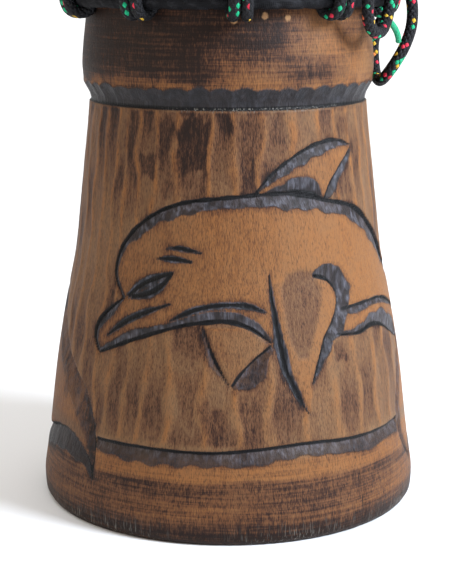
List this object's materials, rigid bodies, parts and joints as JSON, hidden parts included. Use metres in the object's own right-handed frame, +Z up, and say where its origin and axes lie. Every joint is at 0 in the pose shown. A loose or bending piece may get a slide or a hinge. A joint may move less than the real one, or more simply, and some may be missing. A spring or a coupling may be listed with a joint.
{
  "type": "goblet hand drum",
  "caption": "Goblet-shaped hand drum carved from a log, with leaping dolphins cut into its flared foot and a goatskin head held by rope laced between rings.",
  "frame": {"origin": "centre of the round underside of the foot, on the standing surface", "axes": "+Z up along the drum's axis, -Y towards the viewer who faces the carved dolphin, +X to that viewer's right"},
  "size_m": [0.2862, 0.2802, 0.5],
  "materials": {
    "carved_wood": "scorched and oiled hardwood, satin, with black chisel cuts and orange ridges",
    "goatskin": "shaved goatskin, matte, with faint mottling",
    "ring_wrap": "black woven cloth wrapped round a steel ring",
    "rope": "black braided rope with green, gold and red flecks"
  },
  "bodies": {
    "root": {"shell": "carved_wood", "drumhead_skin": "goatskin", "crown_ring": "ring_wrap", "neck_ring": "ring_wrap", "lacing": "rope", "spare_rope": "rope", "neck_sling_01": "rope", "neck_sling_02": "rope", "neck_sling_03": "rope", "neck_sling_04": "rope", "neck_sling_05": "rope", "neck_sling_06": "rope", "neck_sling_07": "rope", "neck_sling_08": "rope", "neck_sling_09": "rope", "neck_sling_10": "rope", "crown_sling_01": "rope", "crown_sling_02": "rope", "crown_sling_03": "rope", "crown_sling_04": "rope", "crown_sling_05": "rope", "crown_sling_06": "rope", "crown_sling_07": "rope", "crown_sling_08": "rope", "crown_sling_09": "rope", "crown_sling_10": "rope"}
  },
  "joints": []
}
